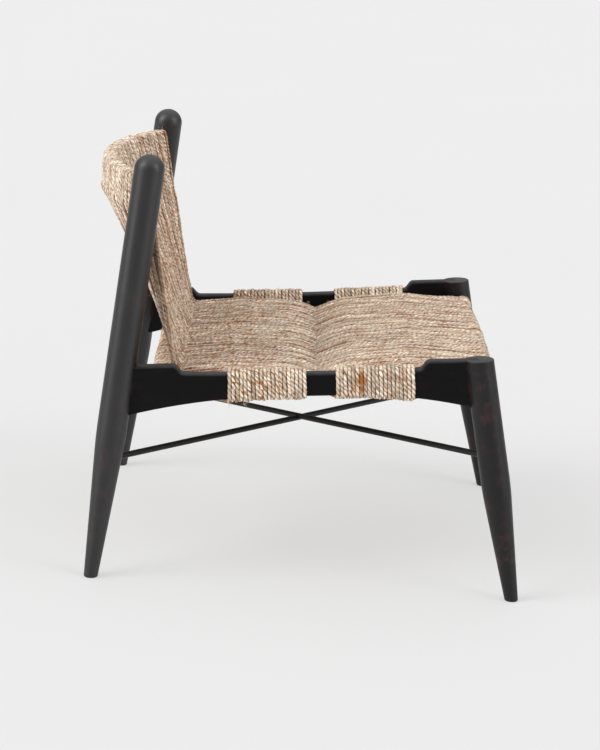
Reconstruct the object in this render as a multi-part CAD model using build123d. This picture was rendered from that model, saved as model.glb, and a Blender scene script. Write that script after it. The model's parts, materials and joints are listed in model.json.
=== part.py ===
from build123d import *
import os
from math import sqrt

# A low lounge chair: a turned and black-stained wooden frame with a woven rope seat and
# back.  Millimetres, Z up, front of the chair towards -Y.  "left" is -X and "right" is +X,
# as seen from the front.  The floor is Z = 0.

os.makedirs("parts", exist_ok=True)

# ---- driving dimensions -------------------------------------------------------------
FRONT_LEG_D = 48.0
REAR_POST_D = 49.5
FRONT_FOOT_D = 22.0
REAR_FOOT_D = 23.0
FOOT_EDGE_R = 2.5
LEG_TOP_R = 2.0             # edge round a front leg's flat top
TAPER_BLEND = 22.0          # half length of the soft corner above a taper
FRONT_TAPER = 190.0         # height over which a front leg thins towards its foot
REAR_TAPER = 236.0

FRONT_FOOT = (333.3, -352.6, 0.0)      # axis of the right front leg at the floor
FRONT_TOP = (315.9, -269.6, 400.0)
REAR_FOOT = (332.9, 343.8, 0.0)        # axis of the right rear post at the floor
REAR_TOP = (271.7, 280.0, 672.4)       # centre of the domed end

RAIL_T = 25.0               # side rail thickness
RAIL_LINE_Z = 367.9         # top line of the side rails at Y = 0
RAIL_SLOPE = -0.0866        # its rise per mm of Y
RAIL_H = 42.5               # side rail height along the middle
RAIL_STRAIGHT = 60.0        # half length of the straight bottom edge
RAIL_END_DEPTH = (70.0, 67.0)          # front and rear end, below the top line
RAIL_END_Y = (-265.0, 280.0)
RAIL_EDGE_R = (5.0, 2.0)    # upper and lower edges
STEP_UP = (11.0, 12.0)      # raised blocks at the front and rear, over the top line
RAIL_DIP = (3.0, 5.3, 1.5)  # sag of the top edge at the front step, low point and rear step
RAIL_DIP_Y = -20.0          # its low point
FRONT_STEP_Y = (-192.0, -172.0)
REAR_STEP_Y = (207.0, 227.0)

SEAT_RAIL_T = 25.0
SEAT_RAIL_H = 42.0
SEAT_RAIL_R = 8.0           # its rounded edges
FRONT_RAIL_Z = 350.0        # centre of the front seat rail
REAR_RAIL_Y = 247.0
REAR_RAIL_Z = 310.0

TOP_RAIL_T = 13.2           # measured along Y
TOP_RAIL_Z = (606.0, 655.0)
TOP_RAIL_BACK_Y = 368.6     # rear face at X = 0
TOP_RAIL_R = 481.6          # plan radius
LOWER_RAIL_T = 12.0
LOWER_RAIL_Y = 215.0
LOWER_RAIL_Z = (302.0, 326.0)
TENON_DEEP = 12.0
TENON_SHOULDER = 9.0        # from the bent rail's edges to its tenon's
TENON_CHEEK = 2.0           # from its faces to the tenon's

ROD_D = 10.0
ROD_A_Z = (198.0, 208.0)    # at the left rear post and the right front leg
ROD_B_Z = (171.0, 241.0)    # at the right rear post and the left front leg
ROD_END_GAP = 6.0           # from a rod's end to the leg's axis
ROD_NOTCH_PLAY = 0.1        # where one rod is let into the other

DOWEL_D = 10.0
DOWEL_L = 36.0
RAIL_DOWEL_D = 8.0
RAIL_DOWEL_L = 28.0
TACK_D = 2.0
TACK_L = 12.0
TACK_HEAD = (6.0, 1.5)      # diameter and thickness
TACK_Y = (-170.0, -33.0, 4.0, 142.0)   # just past each band's edges

LEG_SPARE = 30.0            # extra length that the floor and the top cut away
CUT = 2000.0                # size of the blocks that cut away one side of a plane

ROPE_D = 6.4
SOFT_GAP = 0.3              # between one rope layer and the next
SEAT_HALF_W = 286.0         # half width of the lengthwise rope layer
RAIL_GAP = 0.05             # between a side rail and the rope wound on it
REAR_BAND_Y = (9.0, 16.0, 39.0, 80.0, 132.0, 137.0)
FRONT_BAND_Y = (-166.0, -165.0, -110.0, -63.0, -38.0)
CROSS_Y = -10.0             # where the lengthwise rope crosses itself
BACK_HALF_W = (250.0, 284.0)           # back rope at the top rail and at the seat
BACK_FRONT_END = (220.5, 346.5)        # front face of the back rope where it meets the seat
BACK_REAR_END = (232.0, 368.0)         # rear face where the two layers come together

# Top surface of the lengthwise seat rope, as (Y, height over the side rails' top line).
SEAT_TOP = [
    (-292.0, -19.0), (-268.0, -14.0), (-212.0, -8.5), (-165.0, -3.4), (-110.0, -5.8),
    (-63.0, -8.3), (-36.0, -16.0), (-10.0, -28.0), (16.0, -16.7), (39.0, -11.4),
    (132.0, -5.0), (221.0, -9.4), (252.0, -9.0),
]

SIDES = ((-1, "left"), (1, "right"))


# ---- helpers ------------------------------------------------------------------------
def rail_line(y):
    return RAIL_LINE_Z + RAIL_SLOPE * y


def rail_top(y):
    """Height at y that clears the sagging top edge of a side rail, between its steps."""
    end = (FRONT_STEP_Y[1], RAIL_DIP[0]) if y < RAIL_DIP_Y else (REAR_STEP_Y[0], RAIL_DIP[2])
    share = (y - RAIL_DIP_Y) / (end[0] - RAIL_DIP_Y)
    return rail_line(y) - RAIL_DIP[1] - (end[1] - RAIL_DIP[1]) * share


def seat_top(y):
    """Height of the seat rope's top surface at y."""
    for (y0, h0), (y1, h1) in zip(SEAT_TOP, SEAT_TOP[1:]):
        if y <= y1:
            return rail_line(y) + h0 + (h1 - h0) * (y - y0) / (y1 - y0)
    return rail_line(y) + SEAT_TOP[-1][1]


def on_axis(foot, top, z, side):
    """The point of a leg's axis at height z, on the given side."""
    share = (z - foot[2]) / (top[2] - foot[2])
    x, y = (foot[i] + share * (top[i] - foot[i]) for i in (0, 1))
    return Vector(side * x, y, z)


def front_axis(z, side):
    return on_axis(FRONT_FOOT, FRONT_TOP, z, side)


def rear_axis(z, side):
    return on_axis(REAR_FOOT, REAR_TOP, z, side)


def rod_between(start, end, diameter):
    """A round bar from start to end."""
    along = end - start
    return extrude(Plane(origin=start, z_dir=along) * Circle(diameter / 2), along.length)


def polygon_at(y, points):
    """A face in the plane Y = y from (x, z) points."""
    return make_face(Polyline([(x, y, z) for x, z in points], close=True))


def strip_yz(points, half_width):
    """A slab along X whose side view is the closed outline of (y, z) points."""
    outline = make_face(Polyline([(-half_width, y, z) for y, z in points], close=True))
    return extrude(outline, 2 * half_width, dir=(1, 0, 0))


# ---- turned legs --------------------------------------------------------------------
def turned(foot, top, diameter, foot_d, taper, side, dome):
    """A leg turned about its axis: a tapered foot, then a straight round shaft."""
    start = Vector(side * foot[0], foot[1], foot[2])
    end = Vector(side * top[0], top[1], top[2])
    length = (end - start).length
    r, rf = diameter / 2, foot_d / 2
    past = LEG_SPARE
    slope = (r - rf) / taper
    blend = TAPER_BLEND
    side_line = [
        Line((0, -past), (rf - slope * past, -past)),
        Line((rf - slope * past, -past), (r - slope * blend, taper - blend)),
        Bezier((r - slope * blend, taper - blend), (r, taper), (r, taper + blend)),
    ]
    if dome:
        side_line += [
            Line((r, taper + blend), (r, length)),
            RadiusArc((r, length), (0, length + r), -r),
            Line((0, length + r), (0, -past)),
        ]
    else:
        side_line += [
            Line((r, taper + blend), (r, length + past)),
            Line((r, length + past), (0, length + past)),
            Line((0, length + past), (0, -past)),
        ]
    blank = revolve(Plane.XZ * make_face(side_line), Axis.Z)
    blank = Plane(origin=start, z_dir=end - start) * blank
    return blank - Pos(0, 0, -CUT / 2) * Box(CUT, CUT, CUT)


def block_plane(step):
    """The plane of a raised block's top."""
    return Plane(
        origin=(0, 0, RAIL_LINE_Z + step), x_dir=(1, 0, 0), z_dir=(0, -RAIL_SLOPE, 1)
    )


def front_leg(side):
    leg = turned(FRONT_FOOT, FRONT_TOP, FRONT_LEG_D, FRONT_FOOT_D, FRONT_TAPER, side, False)
    leg -= block_plane(STEP_UP[0]) * Pos(0, 0, CUT / 2) * Box(CUT, CUT, CUT)
    leg = fillet(leg.edges().sort_by(Axis.Z)[0], FOOT_EDGE_R)
    return fillet(leg.edges().sort_by(Axis.Z)[-1], LEG_TOP_R)


def rear_post(side):
    post = turned(REAR_FOOT, REAR_TOP, REAR_POST_D, REAR_FOOT_D, REAR_TAPER, side, True)
    return fillet(post.edges().sort_by(Axis.Z)[0], FOOT_EDGE_R)


# ---- rails --------------------------------------------------------------------------
def rail_plane(side):
    """Local x runs rearwards along the rail's top line, local y up, thickness along z."""
    height = RAIL_LINE_Z
    front = front_axis(rail_line(-270), side)
    rear = rear_axis(rail_line(300), side)
    lean = (rear.X - front.X) / (rear.Y - front.Y)
    x_at_zero = front.X - lean * front.Y
    along = Vector(lean, 1, RAIL_SLOPE)
    across = Vector(1, -lean, 0)
    return Plane(origin=(x_at_zero, 0, height), x_dir=along, z_dir=across)


def rail_x(y, side, offset=0.0):
    """X of the side rail's middle plane at y, moved outwards by offset."""
    plane = rail_plane(side)
    return plane.origin.X + plane.x_dir.X / plane.x_dir.Y * y + side * offset


def side_rail(side, legs):
    """A board with S-curved steps up to a block at each end, a sagging upper edge between
    them and an arched lower edge."""
    front, rear = RAIL_END_Y[0] - 5, RAIL_END_Y[1] + 25
    f0, f1 = FRONT_STEP_Y
    r0, r1 = REAR_STEP_Y
    up_f, up_r = STEP_UP
    fm, rm = (f0 + f1) / 2, (r0 + r1) / 2
    deep_f, deep_r = RAIL_END_DEPTH
    dip_f, dip_m, dip_r = RAIL_DIP
    sag = ThreePointArc((f1, -dip_f), (RAIL_DIP_Y, -dip_m), (r0, -dip_r))
    before, after = sag @ 0 - (sag % 0) * (f1 - fm), sag @ 1 + (sag % 1) * (rm - r0)
    top = [
        Line((front, up_f), (f0, up_f)),
        Bezier((f0, up_f), (fm, up_f), before, sag @ 0),
        sag,
        Bezier(sag @ 1, after, (rm, up_r), (r1, up_r)),
        Line((r1, up_r), (rear, up_r)),
    ]
    arch_r = TangentArc((RAIL_STRAIGHT, -RAIL_H), (rear, -deep_r - 3), tangent=(1, 0))
    arch_f = TangentArc((-RAIL_STRAIGHT, -RAIL_H), (front, -deep_f), tangent=(-1, 0))
    rest = [
        Line((rear, up_r), arch_r @ 1),
        arch_r,
        Line((RAIL_STRAIGHT, -RAIL_H), (-RAIL_STRAIGHT, -RAIL_H)),
        arch_f,
        Line(arch_f @ 1, (front, up_f)),
    ]
    plane = rail_plane(side)
    board = extrude(make_face(top + rest), RAIL_T / 2, both=True)
    long_edges = board.edges().filter_by(lambda e: abs(abs(e.center().Z) - RAIL_T / 2) < 0.01)
    upper = long_edges.filter_by(lambda e: e.center().Y > -RAIL_H / 2)
    upper = upper.filter_by(lambda e: abs(e.center().X) < rear - 1)
    upper = upper.filter_by(lambda e: e.center().X > front + 1)
    board = fillet(upper, RAIL_EDGE_R[0])
    lower = board.edges().filter_by(lambda e: abs(abs(e.center().Z) - RAIL_T / 2) < 0.01)
    lower = lower.filter_by(lambda e: e.center().Y < -RAIL_H + 1)
    lower = lower.filter_by(lambda e: front + 1 < e.center().X < rear - 1)
    board = plane * fillet(lower, RAIL_EDGE_R[1])
    for leg in legs:
        board -= leg
    return max(board.solids(), key=lambda s: s.volume)


def front_seat_rail(legs):
    """A rounded rail between the front legs, leaning with them."""
    centre = front_axis(FRONT_RAIL_Z, 1)
    lean = (FRONT_TOP[1] - FRONT_FOOT[1]) / FRONT_TOP[2]
    bar = Box(2 * centre.X, SEAT_RAIL_T, SEAT_RAIL_H)
    bar = fillet(bar.edges().filter_by(Axis.X), SEAT_RAIL_R)
    plane = Plane(origin=(0, centre.Y, centre.Z), x_dir=(1, 0, 0), z_dir=(0, lean, 1))
    bar = plane * bar
    for leg in legs:
        bar -= leg
    return max(bar.solids(), key=lambda s: s.volume)


def rear_seat_rail(rails):
    """A rounded rail between the side rails, behind the foot of the back."""
    bar = Box(2 * rail_x(REAR_RAIL_Y, 1), SEAT_RAIL_T, SEAT_RAIL_H)
    bar = fillet(bar.edges().filter_by(Axis.X), SEAT_RAIL_R)
    bar = Pos(0, REAR_RAIL_Y, REAR_RAIL_Z) * bar
    for rail in rails:
        bar -= rail
    return max(bar.solids(), key=lambda s: s.volume)


def curved_strip(back_y, radius, thick, half_w, z0, z1):
    """A slab bent in plan: its rear face is an arc, its front face the same arc moved."""
    drop = radius - sqrt(radius**2 - half_w**2)
    rear = ThreePointArc((-half_w, back_y - drop), (0, back_y), (half_w, back_y - drop))
    front = Pos(0, -thick) * rear
    ends = [Line(rear @ 0, front @ 0), Line(rear @ 1, front @ 1)]
    return Pos(0, 0, z0) * extrude(make_face([rear, front] + ends), z1 - z0)


def back_top_rail(posts):
    """The bent rail at the top of the back, with a tenon into each post."""
    z0, z1 = TOP_RAIL_Z
    post = rear_axis((z0 + z1) / 2, 1)
    body = curved_strip(TOP_RAIL_BACK_Y, TOP_RAIL_R, TOP_RAIL_T, post.X - 8, z0, z1)
    long_edges = body.edges().filter_by(lambda e: e.length > post.X)
    body = chamfer(long_edges, 4.0)
    for one in posts:
        body -= one
    body = max(body.solids(), key=lambda s: s.volume)
    tenon = curved_strip(
        TOP_RAIL_BACK_Y - TENON_CHEEK, TOP_RAIL_R, TOP_RAIL_T - 2 * TENON_CHEEK,
        post.X - 4, z0 + TENON_SHOULDER, z1 - TENON_SHOULDER,
    )
    return body + tenon


def back_lower_rail():
    """A slat under the seat rope that the back rope is wound round."""
    z0, z1 = LOWER_RAIL_Z
    half = rail_x(LOWER_RAIL_Y, 1) - RAIL_T / 2 + TENON_DEEP
    slat = fillet(Box(2 * half, LOWER_RAIL_T, z1 - z0).edges().filter_by(Axis.X), 4.0)
    return Pos(0, LOWER_RAIL_Y, (z0 + z1) / 2) * slat


# ---- crossed rods -------------------------------------------------------------------
def crossed_rods():
    """Two straight rods from each rear post to the opposite front leg, halved together."""
    ends = []
    for side, (z_rear, z_front) in ((-1, ROD_A_Z), (1, ROD_B_Z)):
        rear, front = rear_axis(z_rear, side), front_axis(z_front, -side)
        step = (front - rear).normalized() * ROD_END_GAP
        ends.append((rear + step, front - step))
    (a0, a1), (b0, b1) = ends
    share = a0.X / (a0.X - a1.X)
    crossing = a0 + (a1 - a0) * share
    rod_a, rod_b = (rod_between(*pair, ROD_D) for pair in ends)
    fat_a, fat_b = (rod_between(*pair, ROD_D + ROD_NOTCH_PLAY) for pair in ends)
    half = Box(80, 80, 40)
    below = Pos(crossing.X, crossing.Y, crossing.Z - 20) * half
    above = Pos(crossing.X, crossing.Y, crossing.Z + 20) * half
    return rod_a - (fat_b & below), rod_b - (fat_a & above)


# ---- dowels and tacks ---------------------------------------------------------------
def side_rail_dowels(axis_at, height, sign):
    """Two dowels at each end of both side rails, half in the leg and half in the rail."""
    pins = []
    for side, _ in SIDES:
        along = rail_plane(side).x_dir
        for z in height:
            face = axis_at(z, side) + along * (sign * FRONT_LEG_D / 2)
            half = along * (DOWEL_L / 2)
            pins.append(rod_between(face - half, face + half, DOWEL_D))
    return pins


def cross_rail_dowels(ends, length, diameter):
    """Dowels along X, centred on the given end points of a cross rail."""
    pins = []
    for x, y, z in ends:
        start = Vector(x - length / 2, y, z)
        pins.append(rod_between(start, start + Vector(length, 0, 0), diameter))
    return pins


def rope_tacks():
    """Round-headed tacks on the side rails' inner faces that hold the rope ends."""
    tacks = []
    for side, _ in SIDES:
        for y in TACK_Y:
            x = rail_x(y, side, -RAIL_T / 2)
            z = rail_line(y) - RAIL_H / 2
            shank = rod_between(Vector(x, y, z), Vector(x + side * TACK_L, y, z), TACK_D)
            flat = Vector(x - side * TACK_HEAD[1], y, z)
            head = rod_between(Vector(x, y, z), flat, TACK_HEAD[0])
            tacks.append(shank + head)
    return tacks


# ---- rope ---------------------------------------------------------------------------
def band_under(y):
    """Underside of a rope band at y: the arched rail edge and one rope thickness."""
    end_y, depth = list(zip(RAIL_END_Y, RAIL_END_DEPTH))[0 if y < 0 else 1]
    over = max(abs(y) - RAIL_STRAIGHT, 0.0) / (abs(end_y) - RAIL_STRAIGHT)
    arch = (depth - RAIL_H) * over**2
    return rail_line(y) - RAIL_H - arch - SOFT_GAP - ROPE_D


def band_faces(y):
    """Outer and inner outline of a crosswise rope band at y, in the plane Y = y."""
    outer_face = rail_x(y, 1, RAIL_T / 2 + RAIL_GAP)
    inner_face = rail_x(y, 1, -RAIL_T / 2 - RAIL_GAP)
    top = rail_top(y) + RAIL_GAP
    low = band_under(y)
    run = seat_top(y) - ROPE_D - SOFT_GAP
    bend = SEAT_HALF_W + 2 * SOFT_GAP
    outer = [
        (outer_face + ROPE_D, low), (outer_face + ROPE_D, top + ROPE_D),
        (inner_face, top + ROPE_D), (bend, run),
    ]
    inner = [
        (outer_face, low + ROPE_D), (outer_face, top), (inner_face, top),
        (bend - ROPE_D / 2, run - ROPE_D),
    ]
    mirrored = [[(-x, z) for x, z in reversed(part)] for part in (outer, inner)]
    return polygon_at(y, outer + mirrored[0]), polygon_at(y, inner + mirrored[1])


def rope_band(stations):
    """A flat band of rope round both side rails, with an upper and a lower run."""
    faces = [band_faces(y) for y in stations]
    outside = loft([outer for outer, _ in faces], ruled=True)
    inside = loft([inner for _, inner in faces], ruled=True)
    return outside - inside


def seat_rope(front_rail, rear_rail):
    """The lengthwise rope: over and under both bands, crossing itself between them."""
    lean = (FRONT_TOP[1] - FRONT_FOOT[1]) / FRONT_TOP[2]
    nose_y = front_axis(FRONT_RAIL_Z, 1).Y - SEAT_RAIL_T / 2 - ROPE_D
    low_front = FRONT_RAIL_Z - SEAT_RAIL_H / 2 - ROPE_D
    tail_y = REAR_RAIL_Y + SEAT_RAIL_T / 2 + ROPE_D
    low_rear = REAR_RAIL_Z - SEAT_RAIL_H / 2 - ROPE_D
    corner = SEAT_RAIL_R
    inside_front = nose_y + SEAT_RAIL_T + ROPE_D + corner / 4
    inside_rear = REAR_RAIL_Y - SEAT_RAIL_T / 2
    meet_z = seat_top(CROSS_Y) - ROPE_D

    def under(y):
        return band_under(y) - SOFT_GAP

    def nose(z):
        return nose_y + lean * (z - FRONT_RAIL_Z)

    front_low = [(y, under(y) - ROPE_D) for y in (FRONT_BAND_Y[0], FRONT_BAND_Y[-1])]
    rear_low = [(y, under(y) - ROPE_D) for y in (REAR_BAND_Y[0], REAR_BAND_Y[-1])]
    outline = [(y, seat_top(y)) for y, _ in SEAT_TOP]
    high_rear = REAR_RAIL_Z + SEAT_RAIL_H / 2 - corner
    outline += [(tail_y - corner / 4, high_rear + corner / 2), (tail_y, high_rear)]
    outline += [(tail_y, low_rear + corner), (tail_y - corner, low_rear)] + rear_low[::-1]
    outline += [(CROSS_Y, meet_z - ROPE_D)] + front_low[::-1]
    high_front = FRONT_RAIL_Z + SEAT_RAIL_H / 2 - corner
    outline += [(nose(low_front) + 2 * corner, low_front)]
    outline += [(nose(z), z) for z in (low_front + corner, high_front)]

    def inner_top(y0, y1):
        inside = [y for y, _ in SEAT_TOP if y0 < y < y1]
        return [(y, seat_top(y) - ROPE_D) for y in [y0] + inside + [y1]]

    front_hole = inner_top(inside_front, CROSS_Y - 2)
    front_hole += [(y, under(y)) for y in (FRONT_BAND_Y[-1], FRONT_BAND_Y[0])]
    front_hole += [(inside_front, low_front + ROPE_D)]
    rear_hole = inner_top(CROSS_Y + 2, inside_rear) + [(inside_rear, low_rear + ROPE_D)]
    rear_hole += [(y, under(y)) for y in (REAR_BAND_Y[-1], REAR_BAND_Y[0])]
    body = strip_yz(outline, SEAT_HALF_W)
    for hole in (front_hole, rear_hole):
        body -= strip_yz(hole, SEAT_HALF_W + 1)
    body -= front_rail
    return max((body - rear_rail).solids(), key=lambda s: s.volume)


def back_layer(y, z, end):
    """A rope layer from an arc at height z to a straight line near the seat."""
    top_w, low_w = BACK_HALF_W
    radius = TOP_RAIL_R + ROPE_D
    drop = radius - sqrt(radius**2 - top_w**2)
    rear = ThreePointArc((-top_w, y - drop, z), (0, y, z), (top_w, y - drop, z))
    front = Pos(0, -ROPE_D, 0) * rear
    high = make_face([rear, front, Line(rear @ 0, front @ 0), Line(rear @ 1, front @ 1)])
    end_y, end_z = end
    low = make_face(Polyline([
        (-low_w, end_y, end_z), (low_w, end_y, end_z),
        (low_w, end_y - ROPE_D, end_z), (-low_w, end_y - ROPE_D, end_z),
    ], close=True))
    return loft([high, low], ruled=True)


def back_ropes(top_rail, posts):
    """The front and the rear rope layer that hang on the bent top rail."""
    z0, z1 = TOP_RAIL_Z
    shoulder = z1 - 2
    width = BACK_HALF_W[0]
    back_y, radius = TOP_RAIL_BACK_Y + ROPE_D, TOP_RAIL_R + ROPE_D
    front_y = back_y - 2 * ROPE_D - TOP_RAIL_T
    front_end = (BACK_FRONT_END[0] + ROPE_D, BACK_FRONT_END[1])
    front = back_layer(front_y + ROPE_D, shoulder, front_end)
    cap_t = back_y - front_y
    front += curved_strip(back_y, radius, cap_t, width, shoulder, z1 + ROPE_D)
    rear = back_layer(back_y, z0, BACK_REAR_END)
    rear += curved_strip(back_y, radius, ROPE_D, width, z0, shoulder)
    layers = []
    for layer in (front, rear):
        for wood in [top_rail] + list(posts):
            layer -= wood
        layers.append(max(layer.solids(), key=lambda s: s.volume))
    front, rear = layers
    return front, max((rear - front).solids(), key=lambda s: s.volume)


def back_rope_turns(lower_rail):
    """The same rope's turns round the lower slat, under the seat rope."""
    low0, low1 = LOWER_RAIL_Z
    turns = Box(2 * BACK_HALF_W[1], LOWER_RAIL_T + 2 * ROPE_D, low1 - low0 + 2 * ROPE_D)
    turns = fillet(turns.edges().filter_by(Axis.X), 9.0)
    return Pos(0, LOWER_RAIL_Y, (low0 + low1) / 2) * turns - lower_rail


# ---- assembly -----------------------------------------------------------------------
def build():
    legs = {side: front_leg(side) for side, _ in SIDES}
    posts = {side: rear_post(side) for side, _ in SIDES}
    rails = {side: side_rail(side, (legs[side], posts[side])) for side, _ in SIDES}
    front_rail = front_seat_rail(legs.values())
    rear_rail = rear_seat_rail(rails.values())
    top_rail = back_top_rail(posts.values())
    lower_rail = back_lower_rail()
    rod_a, rod_b = crossed_rods()
    lengthwise = seat_rope(front_rail, rear_rail)
    back_front, back_rear = back_ropes(top_rail, posts.values())

    leg_dowels = side_rail_dowels(front_axis, (345.0, 378.0), 1)
    post_dowels = side_rail_dowels(rear_axis, (300.0, 332.0), -1)
    lean = (FRONT_TOP[1] - FRONT_FOOT[1]) / FRONT_TOP[2]
    front_ends, rear_ends = [], []
    for side, _ in SIDES:
        for dz in (-11.0, 11.0):
            at = front_axis(FRONT_RAIL_Z + dz, side)
            front_ends.append((at.X - side * FRONT_LEG_D / 2, at.Y, at.Z))
            x = rail_x(REAR_RAIL_Y, side, -RAIL_T / 2)
            rear_ends.append((x, REAR_RAIL_Y, REAR_RAIL_Z + dz))
    front_dowels = cross_rail_dowels(front_ends, RAIL_DOWEL_L, RAIL_DOWEL_D)
    rear_dowels = cross_rail_dowels(rear_ends, RAIL_DOWEL_L, RAIL_DOWEL_D)
    tacks = rope_tacks()

    for side, _ in SIDES:
        for pin in leg_dowels + front_dowels + [rod_a, rod_b]:
            legs[side] -= pin
        for pin in post_dowels + [rod_a, rod_b, top_rail]:
            posts[side] -= pin
        for pin in leg_dowels + post_dowels + rear_dowels + tacks + [lower_rail]:
            rails[side] -= pin
    for pin in front_dowels:
        front_rail -= pin
    for pin in rear_dowels:
        rear_rail -= pin

    nodes = {
        "front_seat_rail": front_rail,
        "rear_seat_rail": rear_rail,
        "back_top_rail": top_rail,
        "back_lower_rail": lower_rail,
        "stretcher_rod_a": rod_a,
        "stretcher_rod_b": rod_b,
        "front_leg_dowels": Compound(leg_dowels),
        "rear_post_dowels": Compound(post_dowels),
        "front_rail_dowels": Compound(front_dowels),
        "rear_rail_dowels": Compound(rear_dowels),
        "rope_tacks": Compound(tacks),
        "seat_rope": lengthwise,
        "front_rope_band": rope_band(FRONT_BAND_Y),
        "rear_rope_band": rope_band(REAR_BAND_Y),
        "back_rope_front": back_front,
        "back_rope_rear": back_rear,
        "back_rope_turns": back_rope_turns(lower_rail),
    }
    for side, name in SIDES:
        nodes["front_leg_" + name] = legs[side]
        nodes["rear_post_" + name] = posts[side]
        nodes["side_rail_" + name] = rails[side]
    return nodes


nodes = build()
box = Compound([solid for node in nodes.values() for solid in node.solids()]).bounding_box()
to_origin = Pos(0, -(box.min.Y + box.max.Y) / 2, -box.min.Z)
for name, node in nodes.items():
    export_step(to_origin * Compound(node.solids()), "parts/" + name + ".step")
print("size", box.size, "moved back by", (box.min.Y + box.max.Y) / 2)
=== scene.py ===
import json
import math

import bpy
import numpy as np
from mathutils import Matrix, Vector


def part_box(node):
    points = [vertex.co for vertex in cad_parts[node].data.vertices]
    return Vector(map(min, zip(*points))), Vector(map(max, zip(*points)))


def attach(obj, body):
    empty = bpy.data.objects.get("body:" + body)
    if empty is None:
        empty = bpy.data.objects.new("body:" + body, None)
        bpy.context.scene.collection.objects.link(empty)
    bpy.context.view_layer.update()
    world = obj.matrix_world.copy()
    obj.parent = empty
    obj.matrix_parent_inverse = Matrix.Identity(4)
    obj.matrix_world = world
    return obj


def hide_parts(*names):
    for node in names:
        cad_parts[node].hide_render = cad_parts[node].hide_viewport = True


# The looks of a low rope lounge chair.  The frame is loaded from the pack.  The plain rope
# slabs of the frame are replaced by twisted ropes, wound strand by strand along the same
# routes.  Rope routes are worked out in millimetres, in the frame of the part's own source,
# and moved to the row's frame in metres at the end.
#
# The chair faces -Y and Z is up.  Its left side, as seen from the front, is at -X, and the
# camera stands on that side.  Ropes of the seat and the back are counted from the left, and
# those of the two crosswise bands from the front.

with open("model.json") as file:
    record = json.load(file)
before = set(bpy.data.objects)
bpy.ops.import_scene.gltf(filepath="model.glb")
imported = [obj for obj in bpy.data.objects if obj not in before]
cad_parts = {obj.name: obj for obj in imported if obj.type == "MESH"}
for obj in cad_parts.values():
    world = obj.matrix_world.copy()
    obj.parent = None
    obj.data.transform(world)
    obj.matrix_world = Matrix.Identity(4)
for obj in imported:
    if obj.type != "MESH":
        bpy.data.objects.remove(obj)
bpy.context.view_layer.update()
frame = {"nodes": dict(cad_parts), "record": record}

SEED = 7
SEAT_SEED, BAND_SEED, BACK_SEED, FIBRE_SEED = SEED + 10, SEED + 100, SEED + 200, SEED + 300
MM = 0.001

# ---- sizes, in millimetres ----------------------------------------------------------
ROPE_D = 6.4
ROPE_R = ROPE_D / 2
LAY = 16.5                  # length of one full turn of a rope's two plies
LAY_UNDER = 27.0            # the same where the rope is slack, out of sight
LAYER_GAP = 0.3             # clearance between one layer of rope and the next
RING_STEP = 1.6             # between the rings of vertices of a rope in plain view

ROWS = 85                   # lengthwise seat ropes; the back has one fewer
SEAT_HALF_W = 286.0
ROW_GAP = 2 * SEAT_HALF_W / ROWS
ROW_FILL = 0.985            # share of a row gap that a rope fills
SEAT_START = (-200.0, 315.0)    # (Y, Z) near which a seat rope starts and ends, out of sight
SEEN_DEPTH = 15.0           # seat ropes deeper than this under the seat's top are out of sight
CROSS_Y = -10.0             # where the ropes of the two seat rails pass between each other
CROSS_SHIFT = 0.25          # how far they move aside for that, in row gaps
CROSS_BLUR = 6              # how softly they do, in rings of vertices
CROSS_REACH = 11.0          # how far along Y they are squeezed there
CROSS_SQUEEZE = (0.42, 0.10)    # how much narrower and taller they get there, as shares
CROSS_Z = 320.0             # height there between the upper and the lower ropes
BACK_REACH = 9.0            # how far along Y they are squeezed between the back ropes
BACK_SQUEEZE = 0.30         # how much narrower they get there, as a share
BACK_Z = 325.0              # height there between the upper and the lower ropes
FRONT_SPREAD = 0.017        # share by which the seat ropes fan out over the front rail
SPREAD_RAMP = (215.0, 60.0)     # distance in front of Y = 0 where it begins, and its length
NOSE_PROUD = 6.0            # how far the slack turns stand off that rail where fullest
NOSE_RAMP_Y = (262.0, 20.0)     # the same for the slack turns
NOSE_RAMP_Z = (325.0, 20.0)     # height where they begin to, and over how much
NOSE_FULLEST = -0.25        # X where they are fullest, as a share of SEAT_HALF_W
NOSE_LEAST = 0.25           # their fullness at the sides, as a share of the most
REAR_RUN_Y = (158.0, 185.0, 215.0)      # along the lower ropes, past the bands
FRONT_RUN_Y = (-182.0, -198.0)
RUN_DROP = 1.4 * ROPE_R     # how far they are below the side rails' lower edge there
SEAT_ROUNDING = 3.0         # how much the seat ropes' route is rounded off
TIGHT_ROUNDING = 1.6        # the same for the bands and the back
# How far the first seat ropes sink behind the rear band, by row.
EDGE_DIP = {0: 3.0, 1: 3.0, 2: 3.0, 3: 2.5, 4: 6.0, 5: 1.0}
DIP_RAMP = 12.0             # length in Y over which they begin to
DIP_LAYER = 12.0            # seat ropes deeper than this under the seat's top don't
SHADOW_LINE_ROW = 5              # the first seat rope seen past the near bands, where a shadow line is painted on it

BAND_ROPES = 20
FRONT_BAND_Y = (-166.0, -38.0)
REAR_BAND_Y = (9.0, 137.0)
BAND_SKEW = (-5.0, 8.0)     # front and rear band: how far the right end has slid in Y
BAND_SECTION = (1.08, 0.94)     # width and height of a band's rope, as shares of a round one
BAND_SEEN = 12.0            # how far inside the seat's edge a band's ropes count as in view
STAINED_ROW = 13            # the front band's rope with an orange-brown stain
STAIN_AT = 0.6              # its darkest blot, as a share of the side rail's height
STAIN_TALL = 0.17           # half the height of that blot, as the same share
STAIN_LEVEL = (0.75, 0.25, 0.6)     # of the stained rope: even part, ripple and blot
STAIN_RIPPLE = 3.0          # length of that ripple, in mm per radian
STAIN_BESIDE = 0.9          # the blot on the ropes beside it

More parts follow.
